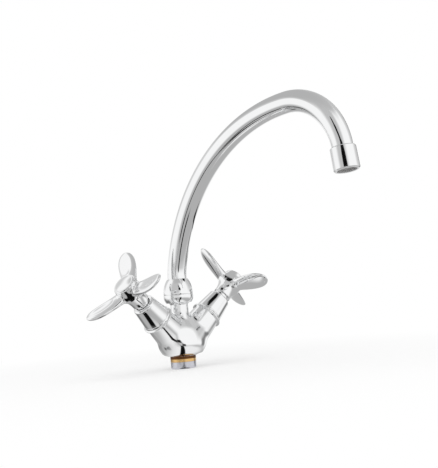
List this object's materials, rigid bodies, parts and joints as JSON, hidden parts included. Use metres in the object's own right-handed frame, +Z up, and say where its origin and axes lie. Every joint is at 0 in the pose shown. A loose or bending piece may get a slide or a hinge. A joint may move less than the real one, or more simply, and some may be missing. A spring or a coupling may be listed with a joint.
{
  "type": "mixer tap",
  "caption": "Deck-mounted kitchen mixer tap with a high swan-neck swivel spout and two angled three-lobe handles on tapered bonnets.",
  "frame": {"origin": "centre of the seat plane under the casting, on the axis of the shank", "axes": "+Z up along the shank and the spout swivel, spout forward along -Y, hot handle at -X, cold handle at +X"},
  "size_m": [0.213, 0.2702, 0.2487],
  "materials": {
    "chrome_casting": "polished chrome plate",
    "chrome_tube": "polished chrome plate",
    "chrome_trim": "polished chrome plate",
    "chrome_handle": "polished chrome plate",
    "plated_shank": "dull nickel plate",
    "brass_ring": "turned",
    "brass_fitting": "turned",
    "black_rubber": "matt",
    "white_plastic": "moulded",
    "steel_mesh": "woven wire",
    "spring_steel": "bright",
    "ceramic": "lapped ceramic"
  },
  "bodies": {
    "tap_body": {"mixer_body": "chrome_casting", "shank": "plated_shank", "base_ring": "brass_ring", "spout_nut": "chrome_trim", "hot_bonnet": "chrome_trim", "hot_headwork": "brass_fitting", "hot_fixed_disc": "ceramic", "hot_seat_seal": "black_rubber", "cold_bonnet": "chrome_trim", "cold_headwork": "brass_fitting", "cold_fixed_disc": "ceramic", "cold_seat_seal": "black_rubber"},
    "spout": {"spout_tube": "chrome_tube", "spout_spigot": "brass_fitting", "spout_o_ring_lower": "black_rubber", "spout_o_ring_upper": "black_rubber", "spout_slip_ring": "white_plastic", "aerator_housing": "chrome_trim", "aerator_washer": "black_rubber", "aerator_insert": "white_plastic", "aerator_screen": "steel_mesh"},
    "hot_control": {"hot_handle": "chrome_handle", "hot_handle_screw": "spring_steel", "hot_index_cap": "chrome_trim", "hot_spindle": "brass_fitting", "hot_spindle_clip": "spring_steel", "hot_spindle_o_ring": "black_rubber", "hot_turning_disc": "ceramic"},
    "cold_control": {"cold_handle": "chrome_handle", "cold_handle_screw": "spring_steel", "cold_index_cap": "chrome_trim", "cold_spindle": "brass_fitting", "cold_spindle_clip": "spring_steel", "cold_spindle_o_ring": "black_rubber", "cold_turning_disc": "ceramic"}
  },
  "joints": [
    {"name": "spout_swivel", "type": "hinge", "parent": "tap_body", "child": "spout", "pos_m": [0, 0, 0.0555], "axis": [0, 0, 1], "continuous": true},
    {"name": "hot_handle_turn", "type": "hinge", "parent": "tap_body", "child": "hot_control", "pos_m": [0, 0, 0.01], "axis": [-0.7434, -0.0913, 0.6626], "range_deg": [0, 90]},
    {"name": "cold_handle_turn", "type": "hinge", "parent": "tap_body", "child": "cold_control", "pos_m": [0, 0, 0.01], "axis": [0.7434, -0.0913, 0.6626], "range_deg": [0, 90]}
  ]
}
